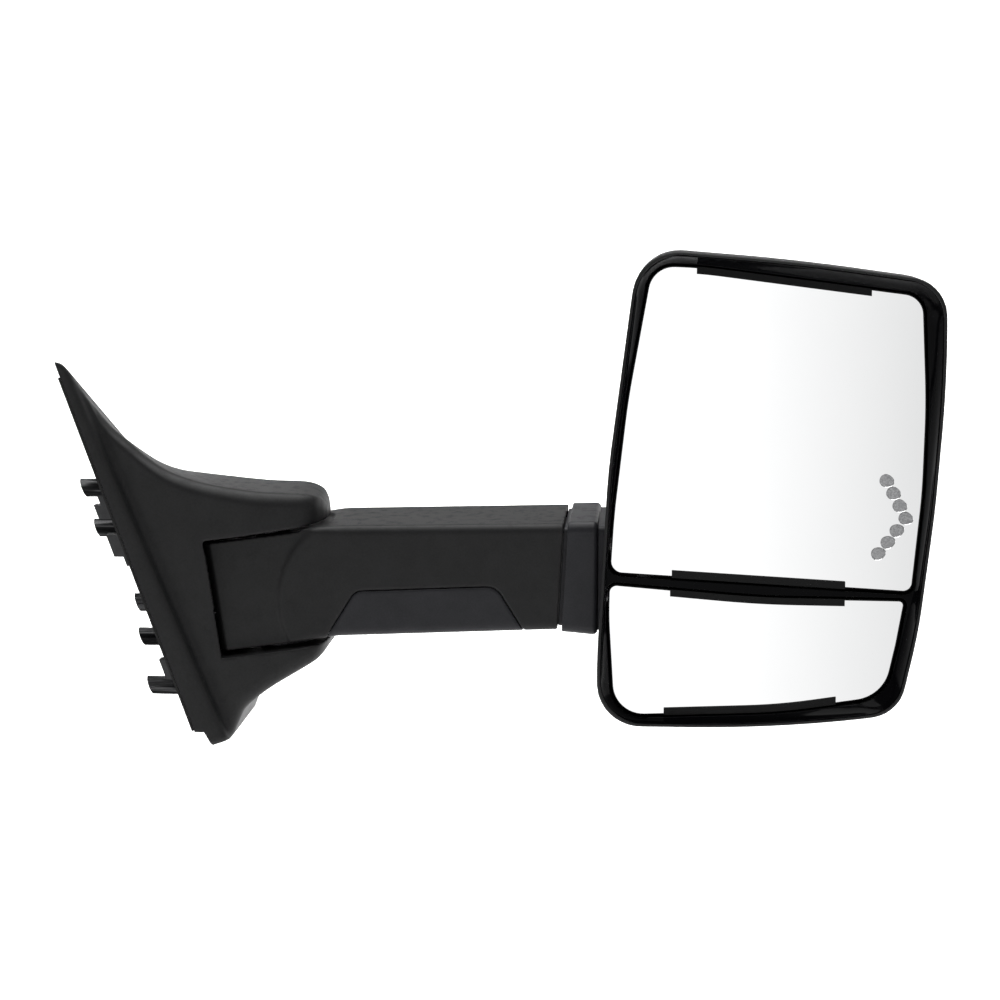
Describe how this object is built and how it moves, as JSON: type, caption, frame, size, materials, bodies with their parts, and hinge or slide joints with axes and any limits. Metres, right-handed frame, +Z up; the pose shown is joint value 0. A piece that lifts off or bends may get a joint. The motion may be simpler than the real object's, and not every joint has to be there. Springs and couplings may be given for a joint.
{
  "type": "towing mirror",
  "caption": "Folding and telescoping pickup towing mirror: leaning door base, box arm, and a tall head with an upper glass and a wide-angle lower glass.",
  "frame": {"origin": "centre of the flat face that seats on the door", "axes": "+X outboard along the arm, +Y towards the front of the vehicle, +Z up; the glasses face -Y"},
  "size_m": [0.5999, 0.136, 0.3439],
  "materials": {
    "black_texture": "fine moulded grain",
    "black_cover": "fine moulded grain",
    "gloss_black": "gloss",
    "charcoal_plastic": "satin moulded",
    "inner_plastic": "satin moulded",
    "white_plastic": "natural acetal",
    "cast_alloy": "dark-coated casting",
    "steel": "drawn",
    "dark_steel": "phosphated",
    "brass": "turned",
    "rubber": "matt",
    "foam": "closed-cell foam",
    "mirror_glass": "mirror",
    "heater_film": "film",
    "board_green": "solder mask",
    "signal_grey": "etched window"
  },
  "bodies": {
    "base": {"base_cover": "black_texture", "mount_bracket": "cast_alloy", "door_gasket": "foam", "boss_inserts": "brass", "wiring_grommet": "rubber", "cover_screws": "dark_steel", "pivot_post": "steel", "pivot_nut": "dark_steel", "fold_spring": "dark_steel", "spring_retainer": "steel", "fixed_friction_disc": "dark_steel"},
    "arm": {"arm_frame": "cast_alloy", "arm_shroud": "black_texture", "arm_lower_cover": "black_cover", "arm_end_guide": "inner_plastic", "moving_friction_disc": "steel", "pivot_bushes": "white_plastic", "slide_bushes": "white_plastic", "arm_screws": "dark_steel"},
    "head": {"slide_tubes": "steel", "tube_end_bushes": "white_plastic", "head_sleeve": "black_cover", "head_cradle": "cast_alloy", "tube_clamps": "cast_alloy", "clamp_screws": "dark_steel", "head_shell": "black_texture", "skull_cap": "black_texture", "bezel": "gloss_black", "shell_screws": "dark_steel", "actuator_housing": "inner_plastic", "actuator_cover": "inner_plastic", "drive_motors": "steel", "drive_worms": "brass"},
    "pan_wheel": {"pan_drive_wheel": "white_plastic"},
    "tilt_wheel": {"tilt_drive_wheel": "white_plastic"},
    "pan_rod": {"pan_plunger": "white_plastic"},
    "tilt_rod": {"tilt_plunger": "white_plastic"},
    "upper_cross": {"upper_gimbal": "inner_plastic"},
    "upper_mirror": {"upper_holder": "charcoal_plastic", "upper_heater": "heater_film", "upper_glass": "mirror_glass", "signal_board": "board_green", "signal_windows": "signal_grey"},
    "lower_cross": {"lower_gimbal": "inner_plastic"},
    "lower_mirror": {"lower_holder": "charcoal_plastic", "lower_heater": "heater_film", "lower_glass": "mirror_glass"}
  },
  "joints": [
    {"name": "arm_fold", "type": "hinge", "parent": "base", "child": "arm", "pos_m": [0.096, 0, 0], "axis": [-0.1426, 0, 0.9898], "range_deg": [-78, 45]},
    {"name": "head_slide", "type": "slide", "parent": "arm", "child": "head", "axis": [1, 0, 0], "range_m": [0, 0.09]},
    {"name": "upper_pan", "type": "hinge", "parent": "head", "child": "upper_cross", "pos_m": [0.437, -0.027, 0.092], "axis": [0, 0, 1], "range_deg": [-6, 6]},
    {"name": "upper_tilt", "type": "hinge", "parent": "upper_cross", "child": "upper_mirror", "pos_m": [0.437, -0.027, 0.092], "axis": [1, 0, 0], "range_deg": [-6, 6]},
    {"name": "lower_pan", "type": "hinge", "parent": "head", "child": "lower_cross", "pos_m": [0.433, -0.027, -0.06], "axis": [0, 0, 1], "range_deg": [-4, 4]},
    {"name": "lower_tilt", "type": "hinge", "parent": "lower_cross", "child": "lower_mirror", "pos_m": [0.433, -0.027, -0.06], "axis": [1, 0, 0], "range_deg": [-4, 4]},
    {"name": "pan_push", "type": "slide", "parent": "head", "child": "pan_rod", "axis": [0, 1, 0], "range_m": [-0.004, 0.004]},
    {"name": "tilt_push", "type": "slide", "parent": "head", "child": "tilt_rod", "axis": [0, 1, 0], "range_m": [-0.004, 0.004]},
    {"name": "pan_spin", "type": "hinge", "parent": "head", "child": "pan_wheel", "pos_m": [0.465, 0, 0.092], "axis": [0, 1, 0], "range_deg": [-320, 320]},
    {"name": "tilt_spin", "type": "hinge", "parent": "head", "child": "tilt_wheel", "pos_m": [0.437, 0, 0.064], "axis": [0, 1, 0], "range_deg": [-320, 320]}
  ],
  "couplings": [
    {"joint": "pan_push", "follows": "upper_pan", "m_per_rad": 0.028},
    {"joint": "tilt_push", "follows": "upper_tilt", "m_per_rad": 0.028},
    {"joint": "pan_spin", "follows": "upper_pan", "ratio": 43.982},
    {"joint": "tilt_spin", "follows": "upper_tilt", "ratio": 43.982}
  ]
}
